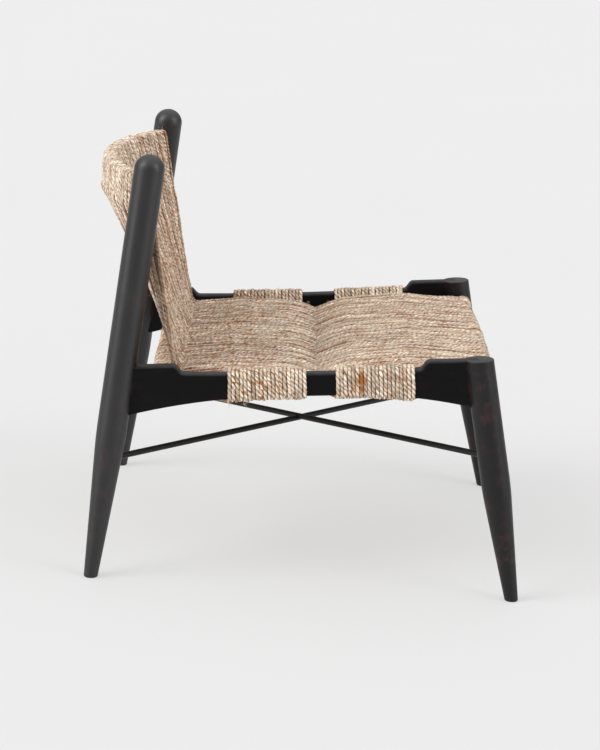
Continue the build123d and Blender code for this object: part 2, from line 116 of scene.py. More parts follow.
RAIL_T = 25.0
RAIL_LINE_Z = 367.9         # height of a side rail's top line at Y = 0
RAIL_SLOPE = -0.0866        # its change per mm of Y
RAIL_H = 42.5               # height of a side rail between its steps
RAIL_STRAIGHT = 60.0        # its lower edge is straight as far as this from Y = 0
RAIL_END_Y = (-265.0, 280.0)
RAIL_END_DEPTH = (70.0, 67.0)
RAIL_MID_X = 309.5          # middle of a side rail at Y = 0
RAIL_LEAN = -0.0249         # its change per mm of Y
RAIL_EDGE_R = (5.0, 2.0)    # radii of a side rail's upper and lower edges
RAIL_DIP = (3.0, 5.3, 1.5)  # sag of a side rail's top edge at front step, low point, rear step
RAIL_DIP_Y = (-172.0, -20.0, 207.0)

SEAT_RAIL_T = 25.0
SEAT_RAIL_H = 42.0
SEAT_RAIL_R = 8.0
LEG_LEAN = 83.0 / 400.0
FRONT_RAIL_Z = 350.0
FRONT_RAIL_Y = -352.6 + LEG_LEAN * FRONT_RAIL_Z
REAR_RAIL_Y = 247.0
REAR_RAIL_Z = 310.0

LOWER_RAIL_Y = 215.0
LOWER_RAIL_T = 12.0
LOWER_RAIL_Z = (302.0, 326.0)
TOP_RAIL_Z = (606.0, 655.0)
BACK_R = 488.0              # plan radius of the back's rear face
BACK_Y = 375.0              # that face at X = 0
BACK_DEEP = 26.0            # from it to the front face
BACK_TOP_HALF_W = 250.0
BACK_CREST_R = 4.6          # radius of a back rope's route over the edges of the top rail
BACK_FRONT_END = (220.5, 346.5)     # (Y, Z) of the front layer's low end
BACK_REAR_END = (232.0, 368.0)      # (Y, Z) of the rear layer's low end
BACK_EDGE_ROWS = 4          # back ropes at each side whose rear layer curves forward
BACK_SECTION = (0.965, 0.10)    # width of a back rope at the top, and its growth downwards
BACK_PINCH = 0.35           # how much narrower it gets between the seat ropes, as a share
BACK_PINCH_RAMP = (0.85, 0.15)      # share of the way down where that begins, and its length
BACK_HIDDEN = 25.0          # back ropes deeper than this under the seat's top are out of sight

# Top surface of the seat ropes, as (Y, height over the side rails' top line).
SEAT_TOP = [
    (-292.0, -19.0), (-268.0, -14.0), (-212.0, -8.5), (-165.0, -3.4), (-110.0, -5.8),
    (-63.0, -8.3), (-36.0, -16.0), (-10.0, -28.0), (16.0, -16.7), (39.0, -11.4),
    (132.0, -5.0), (221.0, -9.4), (252.0, -9.0),
]

# ---- unevenness of the winding ------------------------------------------------------
# A drift is (size, shortest wave, longest wave), with the waves in millimetres of rope.
DRIFT_WAVES = 5
WANDER = (0.34, 35.0, 260.0)    # of a rope from its route, in mm
TURN_DRIFT = (0.12, 60.0, 500.0)    # of its twist, in turns
FAT_DRIFT = (0.03, 15.0, 90.0)  # of its thickness, as a share
TONE_DRIFT = (0.7, 40.0, 400.0)
LEVEL_VARIES = 0.40         # in height from rope to rope, in mm
LAY_VARIES = 0.06           # in the length of a turn from rope to rope, as a share
SINK_ROWS = 4.3             # rows from one sunken rope to the next
SINK_SWAY = 0.2             # share of that cycle by which the sunken places sway
SINK_WAVE = 50.0            # length of that sway along a rope, in mm per radian
SINK_STEP = 0.5             # its change of phase from row to row, in radians
SINK_FROM = 0.35            # value of the cycle's sine above which a rope sinks
SINK_DEEP = 1.7             # depth in mm for every 1 that the sine is above that
SINK_SHADE_TONE = 1.1             # painted shade: how much darker a rope is painted for every mm that it has sunk
SINK_SHADE_STAIN = 0.22            # painted shade: how much more of the stain colour it gets
DIP_SHADE_STAIN = 0.16             # the same painted shade for every mm of EDGE_DIP

# ---- stray fibres, in millimetres ---------------------------------------------------
FIBRE_RINGS = 38            # rings of vertices in plain view for every stray fibre
FIBRE_LEAN = (1.3, 0.35)    # along the rope and any way, for every 1 that they stand out
FIBRE_REACH = (2.5, 8.5)
FIBRE_THICK = (0.10, 0.19)  # radius at the root
FIBRE_TAPER = 0.75          # how much thinner the tip is, as a share
FIBRE_CURL = 0.35
FIBRE_SECTIONS = 5
FRAY_LEAN = 0.45            # how much the fibres of a frayed end fan out
FRAY_SPREAD = 1.2           # how far apart they start

# ---- camera and studio --------------------------------------------------------------
CAMERA_PLACE = (-4094.9, 64.9, 1299.5)      # millimetres, like the rope routes
CAMERA_TURNS = (-0.0122, 0.2441, 0.0611)    # yaw, pitch down and roll, in radians
CAMERA_LENS = 115.2         # focal length in millimetres
CAMERA_SENSOR = 36.0        # millimetres
CAMERA_REACH = 50.0         # metres
FLOOR_SIDE = 60.0           # metres
FLOOR_STEPS = 12
FLOOR_GLOW = 0.482
FLOOR_SHADES = ((0.29, 0.29, 0.29, 1), (0.305, 0.305, 0.305, 1))
WHITE = (1.0, 1.0, 1.0, 1)

# Suns as (name, direction that the light comes from, degrees across, strength).
SUNS = [
    ("key", (-0.45, 0.80, 0.75), 34, 1.2),
    ("fill", (-0.50, -0.80, 0.60), 30, 0.45),
    ("overhead", (0.1, 0.0, 1.0), 90, 0.53),
    ("low_key", (-0.36, 0.90, 0.28), 36, 0.96),
    ("low_fill", (-0.40, -0.90, 0.28), 36, 0.72),
]

# The pack moved the model back so that its origin is under its middle.
MOVE_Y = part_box("rear_rope_band")[0].y / MM - REAR_BAND_Y[0]


# ---- small helpers ------------------------------------------------------------------
def rail_line(y):
    """Height at y of the sloping line that the side rails' heights are measured from."""
    return RAIL_LINE_Z + RAIL_SLOPE * y


def rail_top(y):
    """Height at y of a side rail's sagging top edge, between its steps."""
    return rail_line(y) - float(np.interp(y, RAIL_DIP_Y, RAIL_DIP))


def rail_bottom(y):
    """Lower edge of a side rail, which arches down towards both ends."""
    end = 0 if y < 0 else 1
    over = max(abs(y) - RAIL_STRAIGHT, 0.0) / (abs(RAIL_END_Y[end]) - RAIL_STRAIGHT)
    return rail_line(y) - RAIL_H - (RAIL_END_DEPTH[end] - RAIL_H) * over**2


def rail_x(y):
    """Distance from X = 0 of the middle of a side rail."""
    return RAIL_MID_X + RAIL_LEAN * y


def seat_top(y):
    """Height of the seat ropes' top surface."""
    ys, hs = zip(*SEAT_TOP)
    return rail_line(y) + float(np.interp(y, ys, hs))


def under_band(y):
    """Height of the middle of a seat rope that passes under a band."""
    return rail_bottom(y) - 2 * LAYER_GAP - ROPE_D - ROPE_R


def ramp(values, start, length):
    """0 up to start and 1 from start + length on, with a straight line between them."""
    return np.clip((values - start) / length, 0, 1)


def bell(values, middle, half_width):
    """A Gaussian: 1 at middle, and 1/e at half_width from it."""
    return np.exp(-(((values - middle) / half_width) ** 2))


def arc(centre, radius, start, end, steps=7):
    """Points on an arc in a plane, from angle start to angle end in degrees."""
    turn = np.radians(np.linspace(start, end, steps))
    return [(centre[0] + radius * math.cos(a), centre[1] + radius * math.sin(a)) for a in turn]


def lengths(line):
    """The distance along a polyline of each of its points."""
    return np.r_[0, np.cumsum(np.linalg.norm(np.diff(line, axis=0), axis=1))]


def smooth_line(points, step, sigma, closed):
    """A polyline resampled every step and rounded by a Gaussian of width sigma."""
    pts = np.array(points, float)
    if closed:
        pts = np.vstack([pts, pts[:1]])
    run = lengths(pts)
    count = int(run[-1] / step) + 1
    at = np.linspace(0, run[-1], count, endpoint=not closed)
    line = np.stack([np.interp(at, run, pts[:, i]) for i in range(pts.shape[1])], 1)
    reach = int(3 * sigma / step) + 1
    weights = np.exp(-0.5 * (np.arange(-reach, reach + 1) * step / sigma) ** 2)
    weights /= weights.sum()
    mode = "wrap" if closed else "edge"
    padded = np.pad(line, ((reach, reach), (0, 0)), mode=mode)
    return np.stack([np.convolve(padded[:, i], weights, "valid") for i in range(line.shape[1])], 1)


def keep_where(line, fine):
    """Picks every second point of a finely sampled line, and every fourth out of sight."""
    picks = [i for i in range(len(line) - 2) if i % 2 == 0 and (fine[i] or i % 4 == 0)]
    return np.array(picks + [len(line) - 1])


def drift(rng, at, size, shortest, longest):
    """A smooth random wander along the distances at, about size high."""
    total = np.zeros(len(at))
    for _ in range(DRIFT_WAVES):
        wave = math.exp(rng.uniform(math.log(shortest), math.log(longest)))
        total += np.sin(2 * math.pi * (at / wave + rng.random()))
    return size * total / math.sqrt(DRIFT_WAVES / 2)


def sinking(row, along, shift):
    """How far a rope sinks below its neighbours: deepest once in every SINK_ROWS rows."""
    sway = np.sin(along / SINK_WAVE + row * SINK_STEP + shift)
    beat = row / SINK_ROWS + SINK_SWAY * sway
    return SINK_DEEP * np.clip(np.sin(2 * math.pi * beat) - SINK_FROM, 0, 1)


# ---- twisted rope -------------------------------------------------------------------
RING = np.radians([-60, -20, 20, 60, 90, 120, 160, 200, 240, 270])
NOTCH_AT = 4                # the place in RING of a notch, where the map's join lies
NOTCH_DEEP = 0.24           # depth of the notches, as a share of the radius
NOTCH_HALF_ANGLE = 20.0     # degrees
NOTCH_MARK_ANGLE = 22.0     # the same for the shadow colour in it
PLY_FLATTEN = 0.16          # how much less the radius is beside a notch than on a ply
FLANK_FROM = 0.66           # cosine of the angle to a rope's side where its flank, painted in shade, begins

MAP_LENGTH = 50             # metres of fibre pattern in which every rope starts at random

STRAYS = []                 # (root, direction, length) of every stray fibre


def from_notch(angle):
    """Degrees from the middle of the nearer notch of a two-ply rope."""
    return np.abs((np.degrees(angle) % 180) - 90)


def ply_shape(angle):
    """Radius round a two-ply rope: full over each ply, with a notch between them."""
    round_part = 1 - PLY_FLATTEN + PLY_FLATTEN * np.abs(np.cos(angle))
    return round_part - NOTCH_DEEP * bell(from_notch(angle), 0.0, NOTCH_HALF_ANGLE)


class RopeMesh:
    """Collects twisted strands and makes one mesh of them."""

    def __init__(self, rng):
        self.rng = rng
        self.verts, self.quads, self.tris = [], [], []
        self.tone, self.notch, self.flank, self.stain = [], [], [], []
        self.uv_quads, self.uv_tris = [], []
        self.count = 0

    def strand(self, line, across, seen, wide, tall, stain=None, sunk=0.0):
        """Adds a rope along line.  across is the sideways direction at every point.

        seen marks the points in plain view.  wide and tall scale the section sideways and
        at right angles to that, where neighbours press on it.  stain is how much stain colour
        it gets, from 0 to 1: a real stain on the front band, painted shade on the seat and the
        back.  sunk is how far, in millimetres, it lies below its neighbours, where it is also
        painted darker, as painted shade.
        """
        rng = self.rng
        at = lengths(line)
        n, m = len(line), len(RING)
        along = np.gradient(line, axis=0)
        along /= np.linalg.norm(along, axis=1)[:, None]
        side = across - (across * along).sum(1)[:, None] * along
        side /= np.linalg.norm(side, axis=1)[:, None]
        up = np.cross(along, side)
        line = line + side * drift(rng, at, *WANDER)[:, None]
        line = line + up * (drift(rng, at, *WANDER) + rng.normal(0, LEVEL_VARIES) - sunk)[:, None]
        rate = 1 / np.where(seen, LAY * rng.normal(1, LAY_VARIES), LAY_UNDER)
        turns = np.r_[0, np.cumsum(np.diff(at) * rate[1:])]
        turns = turns + drift(rng, at, *TURN_DRIFT)
        spin = -2 * math.pi * (turns + rng.random())
        angle = RING[None, :] + spin[:, None]
        fat = 1 + drift(rng, at, *FAT_DRIFT)
        radius = ROPE_R * ply_shape(RING)[None, :] * fat[:, None]
        a = (radius * np.cos(angle)) * np.broadcast_to(wide, n)[:, None]
        b = (radius * np.sin(angle)) * np.broadcast_to(tall, n)[:, None]
        ring = line[:, None, :] + side[:, None, :] * a[..., None] + up[:, None, :] * b[..., None]
        self.verts.append(ring.reshape(-1, 3))
        self.verts.append(line[[0, -1]])
        self.skin(at, rng.random() * MAP_LENGTH)
        # Each rope's tone differs at random; where it has sunk it is painted darker, as painted
        # shade.
        slow = rng.normal(0, 1) + drift(rng, at, *TONE_DRIFT) - SINK_SHADE_TONE * sunk
        # The flanks that face the neighbouring ropes are marked for painted shade.
        facing = np.clip((np.abs(np.cos(angle)) - FLANK_FROM) / (1 - FLANK_FROM), 0, 1)
        mark = np.zeros(n) if stain is None else stain
        # Every list ends with the values of the two points that close the rope's ends.
        self.tone.append(np.r_[np.repeat(slow, m), slow[0], slow[-1]])
        self.notch.append(np.r_[np.tile(bell(from_notch(RING), 0.0, NOTCH_MARK_ANGLE), n), 0, 0])
        self.flank.append(np.r_[facing.ravel(), 0, 0])
        self.stain.append(np.r_[np.repeat(mark, m), 0, 0])
        self.count += n * m + 2
        self.shed(ring, line, along, np.flatnonzero(seen))

    def skin(self, at, shift):
        """Adds the faces between a strand's rings, and their places in the map.

        The map runs along the strand in metres, from shift on, and once round it.
        """
        n, m = len(at), len(RING)
        start = self.count
        i, j = np.meshgrid(np.arange(n - 1), np.arange(m), indexing="ij")
        k = (j + 1) % m
        quad = np.stack([i * m + j, i * m + k, (i + 1) * m + k, (i + 1) * m + j], -1)
        self.quads.append(start + quad.reshape(-1, 4))
        u0, u1 = at[i] * MM, at[i + 1] * MM
        # The strip of the map's join lies in a notch, where it can't be seen.
        v0 = ((j + m - NOTCH_AT) % m) / m
        v1 = v0 + 1 / m
        uv = np.stack([u0, v0, u0, v1, u1, v1, u1, v0], -1).reshape(-1, 4, 2)
        uv[..., 0] += shift
        self.uv_quads.append(uv)
        first, last = start + n * m, start + n * m + 1
        ends = np.arange(m)
        nexts = (ends + 1) % m
        cap0 = np.stack([np.full(m, first), start + nexts, start + ends], -1)
        cap1 = np.stack([np.full(m, last), start + (n - 1) * m + ends,
                         start + (n - 1) * m + nexts], -1)
        self.tris += [cap0, cap1]
        self.uv_tris.append(np.full((2 * m, 3, 2), shift))

    def shed(self, ring, line, along, places):
        """Picks where stray fibres stand out of a strand."""
        rng = self.rng
        for i in rng.choice(places, len(places) // FIBRE_RINGS, replace=False):
            root = ring[i, rng.integers(len(RING))]
            out = root - line[i]
            out /= np.linalg.norm(out)
            lean = along[i] * rng.normal(0, FIBRE_LEAN[0]) + rng.normal(0, FIBRE_LEAN[1], 3)
            STRAYS.append((root, out + lean, rng.uniform(*FIBRE_REACH)))

    def make(self, name, material, nodes):
        """Makes the object, moved to the row's frame, in place of the CAD nodes."""
        verts = np.concatenate(self.verts)
        verts[:, 1] += MOVE_Y
        verts *= MM
        quads = np.concatenate(self.quads)
        tris = np.concatenate(self.tris)
        me = bpy.data.meshes.new(name)
        me.vertices.add(len(verts))
        me.vertices.foreach_set("co", verts.astype(np.float32).ravel())
        corners = np.r_[quads.ravel(), tris.ravel()].astype(np.int32)
        me.loops.add(len(corners))
        me.loops.foreach_set("vertex_index", corners)
        starts = np.r_[np.arange(len(quads)) * 4, len(quads) * 4 + np.arange(len(tris)) * 3]
        me.polygons.add(len(starts))
        me.polygons.foreach_set("loop_start", starts.astype(np.int32))
        me.polygons.foreach_set("use_smooth", np.ones(len(starts), bool))
        uv = me.uv_layers.new(name="Rope")
        flat = np.r_[np.concatenate(self.uv_quads).ravel(), np.concatenate(self.uv_tris).ravel()]
        uv.data.foreach_set("uv", flat.astype(np.float32))
        marks = {"tone": self.tone, "notch": self.notch, "flank": self.flank,
                 "stain": self.stain}
        for key, values in marks.items():
            layer = me.attributes.new(key, "FLOAT", "POINT")
            layer.data.foreach_set("value", np.concatenate(values).astype(np.float32))
        me.update(calc_edges=True)
        ob = bpy.data.objects.new(name, me)
        bpy.context.scene.collection.objects.link(ob)
        me.materials.append(material)
        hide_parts(*nodes)
        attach(ob, "root")


# ---- materials ----------------------------------------------------------------------
class Nodes:
    """Adds shader nodes to a new material and links them."""

    def __init__(self, name):
        self.material = bpy.data.materials.new(name)
        self.material.use_nodes = True
        self.tree = self.material.node_tree
        self.shader = self.tree.nodes["Principled BSDF"]

    @classmethod
    def for_world(cls, name):
        """The same for a new world, whose shader is a background."""
        world = bpy.data.worlds.new(name)
        world.use_nodes = True
        bpy.context.scene.world = world
        made = cls.__new__(cls)
        made.tree = world.node_tree
        made.shader = made.tree.nodes["Background"]
        return made

    def add(self, kind, **inputs):
        node = self.tree.nodes.new(kind)
        for key, value in inputs.items():
            self.set(node, key, value)
        return node

    def set(self, node, key, value):
        """key is a socket's name with _ for a space, i and its number, or p_ and a property."""
        if key.startswith("p_"):
            setattr(node, key[2:], value)
            return
        name = int(key[1:]) if key[0] == "i" and key[1:].isdigit() else key.replace("_", " ")
        if isinstance(value, bpy.types.NodeSocket):
            self.tree.links.new(value, node.inputs[name])
        else:
            node.inputs[name].default_value = value

    def plain(self, **inputs):
        """Sets the shader's own sockets to values that are the same all over."""
        for key, value in inputs.items():
            self.shader.inputs[key.replace("_", " ")].default_value = value

    def math(self, operation, a, b, clamp=False):
        node = self.add("ShaderNodeMath", p_operation=operation, p_use_clamp=clamp, i0=a, i1=b)
        return node.outputs[0]

    def noise(self, vector, scale, detail, roughness):
        node = self.add("ShaderNodeTexNoise", Vector=vector, Scale=scale, Detail=detail,
                        Roughness=roughness)
        return node.outputs["Fac"]

    def scaled(self, vector, scale):
        node = self.add("ShaderNodeMapping", Vector=vector, Scale=scale)
        return node.outputs[0]

    def parts(self, vector):
        return self.add("ShaderNodeSeparateXYZ", i0=vector).outputs

    def span(self, value, low, high, to_low=0.0, to_high=1.0):
        """Maps low and high to to_low and to_high, with nothing beyond them."""
        node = self.add("ShaderNodeMapRange", Value=value, From_Min=low, From_Max=high,
                        To_Min=to_low, To_Max=to_high)
        return node.outputs[0]

    def blend(self, share, a, b, kind="MIX"):
        node = self.add("ShaderNodeMix", p_data_type="RGBA", p_blend_type=kind, i0=share)
        for socket, value in ((node.inputs[6], a), (node.inputs[7], b)):
            if isinstance(value, bpy.types.NodeSocket):
                self.tree.links.new(value, socket)
            else:
                socket.default_value = value
        return node.outputs[2]

    def bump(self, height, strength, distance):
        node = self.add("ShaderNodeBump", Height=height, Strength=strength, Distance=distance)
        self.set(self.shader, "Normal", node.outputs[0])

    def attribute(self, name):
        return self.add("ShaderNodeAttribute", p_attribute_name=name).outputs["Fac"]

    def place(self):
        """Where a point lies in the object's own frame, in metres."""
        return self.add("ShaderNodeTexCoord").outputs["Object"]


def srgb(red, green, blue):
    """A linear colour from 0-255 display values."""
    def linear(value):
        value /= 255
        return value / 12.92 if value <= 0.04045 else ((value + 0.055) / 1.055) ** 2.4
    return (linear(red), linear(green), linear(blue), 1.0)


def rope_material():
    """Natural jute: fibres along the plies, light and dark strands, and painted shade in brown
    between them.
    """
    n = Nodes("natural_rope")
    uv = n.add("ShaderNodeUVMap", p_uv_map="Rope").outputs[0]
    place = n.place()
    fibres = n.noise(n.scaled(uv, (240.0, 15.0, 1.0)), 1.0, 4.0, 0.7)
    threads = n.noise(n.scaled(uv, (85.0, 9.0, 1.0)), 1.0, 2.0, 0.5)
    patches = n.noise(n.scaled(uv, (14.0, 0.6, 1.0)), 1.0, 3.0, 0.6)
    flecks = n.noise(n.scaled(uv, (70.0, 3.0, 1.0)), 1.0, 3.0, 0.6)
    knots = n.noise(n.scaled(uv, (60.0, 3.0, 1.0)), 1.0, 2.0, 0.5)
    burnt = n.noise(n.scaled(uv, (22.0, 1.0, 1.0)), 1.0, 2.0, 0.5)
    speckle = n.noise(place, 1100.0, 2.0, 0.6)
    tone = n.attribute("tone")
    # Each of the two plies has its own slowly changing shade.
    split = n.parts(uv)
    ply = n.math("GREATER_THAN", split[1], 0.5)
    own = n.add("ShaderNodeCombineXYZ", i0=n.math("MULTIPLY", split[0], 38.0),
                i1=n.math("MULTIPLY", ply, 5.3)).outputs[0]
    shade = n.noise(own, 1.0, 2.0, 0.6)
    light = n.blend(n.span(patches, 0.32, 0.68), srgb(205, 186, 163), srgb(239, 230, 217))
    ashy = n.blend(n.span(tone, -2.0, 2.0), srgb(198, 182, 162), srgb(240, 225, 203))
    colour = n.blend(0.45, light, ashy)
    level = n.math("ADD", n.math("MULTIPLY", tone, 0.12), 1.27)
    level = n.math("MULTIPLY", level, n.span(fibres, 0.25, 0.75, 0.66, 1.22))
    level = n.math("MULTIPLY", level, n.span(threads, 0.25, 0.75, 0.76, 1.16))
    level = n.math("MULTIPLY", level, n.span(shade, 0.3, 0.7, 0.72, 1.20))
    level = n.math("MULTIPLY", level, n.span(speckle, 0.3, 0.7, 0.90, 1.08))
    colour = n.blend(1.0, colour, level, "MULTIPLY")
    # The ropes over the rear of the seat and low on the back have the most orange flecks.
    back = n.parts(place)[1]
    warm = n.math("MULTIPLY", n.span(back, -0.02, 0.10), n.span(back, 0.33, 0.27))
    reach = n.math("ADD", n.span(burnt, 0.42, 0.66, 0.20, 0.85), n.math("MULTIPLY", warm, 0.35))
    tan = n.math("MULTIPLY", n.span(flecks, 0.50, 0.59), reach, clamp=True)
    colour = n.blend(tan, colour, srgb(174, 110, 38))
    colour = n.blend(n.span(knots, 0.60, 0.67, 0.0, 0.85), colour, srgb(112, 65, 20))
    # Painted shade: the flanks, which face the neighbouring ropes, and the notches between the
    # plies are painted dark brown.
    flank = n.math("MULTIPLY", n.attribute("flank"), n.span(threads, 0.2, 0.8, 1.0, 0.5))
    colour = n.blend(flank, colour, srgb(114, 66, 22))
    notch = n.math("MULTIPLY", n.attribute("notch"), n.span(fibres, 0.2, 0.8, 0.95, 0.55))
    colour = n.blend(notch, colour, srgb(112, 68, 28))
    # The stain is real on the front band; on the seat and back ropes it is painted shade where
    # they sink or dip, and the seat's painted shadow line.
    stain = n.math("MULTIPLY", n.attribute("stain"), n.span(threads, 0.3, 0.8, 1.0, 0.8))
    colour = n.blend(stain, colour, srgb(158, 90, 4))
    n.set(n.shader, "Base_Color", colour)
    n.set(n.shader, "Roughness", n.span(fibres, 0.2, 0.8, 0.78, 0.96))
    n.plain(Specular_IOR_Level=0.25, Sheen_Weight=0.2, Sheen_Roughness=0.5)
    height = n.math("ADD", n.math("MULTIPLY", fibres, 0.8), n.math("MULTIPLY", threads, 0.6))
    n.bump(height, 0.9, 0.0013)
    return n.material


def wood_material(name, grain, rub, gloss):
    """Black stain over open grain that runs along the axis grain, worn on the edges.

    rub is how maroon the scuffs are, from 0 to 1, and gloss is the specular level.
    """
    n = Nodes(name)
    place = n.place()
    stretch = tuple(0.05 if axis == grain else 1.0 for axis in "XYZ")
    pores = n.noise(n.scaled(place, tuple(700.0 * s for s in stretch)), 1.0, 2.0, 0.6)
    figure = n.noise(n.scaled(place, tuple(90.0 * s for s in stretch)), 1.0, 5.0, 0.6)
    cloud = n.noise(place, 11.0, 3.0, 0.5)
    smears = n.noise(place, 46.0, 4.0, 0.65)
    colour = n.blend(n.span(figure, 0.3, 0.7), srgb(8, 8, 9), srgb(13, 12, 13))
    colour = n.blend(n.span(cloud, 0.35, 0.7, 0.0, 0.5), colour, srgb(20, 18, 19))
    pore = n.span(pores, 0.60, 0.72, 0.0, 0.8)
    colour = n.blend(pore, colour, srgb(6, 6, 6))
    # An edge is where the rounded normal and the true one differ.
    soft = n.add("ShaderNodeBevel", Radius=0.0035, p_samples=6).outputs[0]
    hard = n.add("ShaderNodeNewGeometry").outputs["Normal"]
    meet = n.add("ShaderNodeVectorMath", p_operation="DOT_PRODUCT", i0=soft, i1=hard)
    edge = n.span(meet.outputs["Value"], 0.985, 0.90)
    worn = n.math("MULTIPLY", edge, n.span(smears, 0.42, 0.62))
    colour = n.blend(n.math("MULTIPLY", worn, 0.45), colour, srgb(78, 56, 54))
    # The maroon scuffs are strongest low down.
    low = n.span(n.parts(place)[2], 0.26, 0.02, 0.35, 1.0)
    scuffs = n.math("MULTIPLY", n.span(smears, 0.50, 0.66), n.span(cloud, 0.40, 0.62, 0.0, rub))
    scuffs = n.math("MULTIPLY", scuffs, low)
    colour = n.blend(scuffs, colour, srgb(82, 34, 42))
    # Faces that look up are painted a mottled lighter grey, a painted sheen.
    turned = n.parts(hard)[2]
    painted_top_sheen = n.math("MULTIPLY", n.span(turned, 0.25, 0.9), n.span(smears, 0.3, 0.6, 0.55, 1.0))
    colour = n.blend(n.math("MULTIPLY", painted_top_sheen, 0.8), colour, srgb(62, 62, 64))
    n.set(n.shader, "Base_Color", colour)
    rough = n.span(cloud, 0.3, 0.7, 0.36, 0.48)
    rough = n.math("ADD", rough, n.span(pores, 0.5, 0.75, 0.0, 0.16))
    rough = n.math("ADD", rough, n.math("MULTIPLY", worn, 0.15), clamp=True)
    n.set(n.shader, "Roughness", rough)
    n.plain(Specular_IOR_Level=gloss)
    height = n.math("SUBTRACT", n.math("MULTIPLY", figure, 0.5), n.math("MULTIPLY", pore, 0.8))
    n.bump(height, 0.35, 0.0006)
    return n.material


def fibre_material():
    """Single jute fibres, from nearly white to tan."""
    n = Nodes("stray_fibre")
    mixed = n.noise(n.place(), 130.0, 2.0, 0.5)
    colour = n.blend(n.span(mixed, 0.35, 0.65), srgb(176, 140, 104), srgb(236, 222, 204))
    n.set(n.shader, "Base_Color", colour)
    n.set(n.shader, "Roughness", n.span(mixed, 0.3, 0.7, 0.6, 0.8))
    return n.material


def dowel_material():
    """Raw beech with fine flecks."""
    n = Nodes("beech_dowel")
    place = n.place()
    figure = n.noise(n.scaled(place, (30.0, 30.0, 300.0)), 1.0, 4.0, 0.6)
    flecks = n.noise(n.scaled(place, (120.0, 120.0, 900.0)), 1.0, 2.0, 0.5)
    colour = n.blend(n.span(figure, 0.3, 0.7), srgb(196, 158, 116), srgb(222, 188, 148))
    colour = n.blend(n.span(flecks, 0.6, 0.75, 0.0, 0.6), colour, srgb(160, 116, 78))
    n.set(n.shader, "Base_Color", colour)
    n.set(n.shader, "Roughness", n.span(figure, 0.3, 0.7, 0.55, 0.7))
    n.bump(flecks, 0.3, 0.0004)
    return n.material


def metal_material(name, dark, light, metallic, rough):
    """Painted or bare metal with fine mottling and scuffs."""
    n = Nodes(name)
    place = n.place()
    mottle = n.noise(place, 160.0, 4.0, 0.6)
    scuffs = n.noise(n.scaled(place, (60.0, 60.0, 420.0)), 1.0, 3.0, 0.6)
    colour = n.blend(n.span(mottle, 0.3, 0.7), dark, light)
    colour = n.blend(n.span(scuffs, 0.62, 0.72, 0.0, 0.4), colour, srgb(66, 64, 64))
    n.set(n.shader, "Base_Color", colour)
    n.plain(Specular_IOR_Level=0.25, Metallic=metallic)
    n.set(n.shader, "Roughness", n.span(scuffs, 0.3, 0.75, rough, rough + 0.2))
    n.bump(mottle, 0.15, 0.0003)
    return n.material


ROPE = rope_material()
WOOD_POST = wood_material("black_wood_posts", grain="Z", rub=0.3, gloss=0.62)
WOOD_LEG = wood_material("black_wood_legs", grain="Z", rub=0.9, gloss=0.35)
WOOD_LONG = wood_material("black_wood_lengthwise", grain="Y", rub=0.25, gloss=0.10)
WOOD_CROSS = wood_material("black_wood_crosswise", grain="X", rub=0.2, gloss=0.12)
DOWEL = dowel_material()
ROD = metal_material("black_rod", srgb(12, 12, 13), srgb(22, 21, 22), metallic=0.0, rough=0.34)
TACK = metal_material("tack_steel", srgb(120, 116, 110), srgb(168, 164, 158), metallic=1.0,
                      rough=0.4)


def wood_for(node):
    if node.startswith("rear_post"):
        return WOOD_POST
    if node.startswith("front_leg"):
        return WOOD_LEG
    return WOOD_LONG if node.startswith("side_rail") else WOOD_CROSS


def finish_frame():
    """Gives every CAD node that stays its material, by its slot in the record."""
    by_slot = {"beech_dowel": DOWEL, "black_rod": ROD, "tack_steel": TACK}
    for part in frame["record"]["subparts"]:
        node, slot = part["node"], part["material_slot"]
        if slot == "natural_rope":
            continue
        material = wood_for(node) if slot == "black_wood" else by_slot[slot]
        me = frame["nodes"][node].data
        me.materials.clear()
        me.materials.append(material)


# ---- seat ropes ---------------------------------------------------------------------
def rail_corner(centre, lean, across, height, start, end):
    """The rope's arc round one corner of a seat rail that leans by lean.

    across and height are -1 or 1 and say which corner, in Y and in Z.
    """
    tilt = math.atan(lean)
    out_a = across * (SEAT_RAIL_T / 2 - SEAT_RAIL_R)
    out_b = height * (SEAT_RAIL_H / 2 - SEAT_RAIL_R)
    points = arc((out_a, out_b), SEAT_RAIL_R + ROPE_R, start, end)
    turned = []
    for a, b in points:
        y = centre[0] + a * math.cos(tilt) + b * math.sin(tilt)
        z = centre[1] - a * math.sin(tilt) + b * math.cos(tilt)
        turned.append((y, z))
    return turned


def seat_loop():
    """One loop of the seat rope from the side, as (y, z): a long figure of eight.

    From the top in front it crosses to the underside behind, turns round the rear rail,
    comes forward on top, crosses to the underside in front and turns round the front rail.
    """
    front, rear = (FRONT_RAIL_Y, FRONT_RAIL_Z), (REAR_RAIL_Y, REAR_RAIL_Z)
    # The outermost heights lie on the turns round the seat rails.
    top = [y for y, _ in SEAT_TOP]
    tops_front = [y for y in top if -270 < y <= CROSS_Y]
    tops_rear = [y for y in top if CROSS_Y <= y < 250]
    loop = [(y, seat_top(y) - ROPE_R) for y in tops_front]
    loop += [(y, under_band(y)) for y in np.linspace(REAR_BAND_Y[0], REAR_BAND_Y[1], 6)]
    loop += [(y, rail_bottom(y) - RUN_DROP) for y in REAR_RUN_Y]
    loop += rail_corner(rear, 0.0, 1, -1, -100, 0)
    loop += rail_corner(rear, 0.0, 1, 1, 0, 85)
    loop += [(y, seat_top(y) - ROPE_R) for y in tops_rear[::-1]]
    loop += [(y, under_band(y)) for y in np.linspace(FRONT_BAND_Y[1], FRONT_BAND_Y[0], 6)]
    loop += [(y, rail_bottom(y) - RUN_DROP) for y in FRONT_RUN_Y]
    loop += rail_corner(front, LEG_LEAN, -1, -1, 280, 180)
    loop += rail_corner(front, LEG_LEAN, -1, 1, 180, 90)
    loop += rail_corner(front, LEG_LEAN, 1, 1, 90, 80)
    return loop


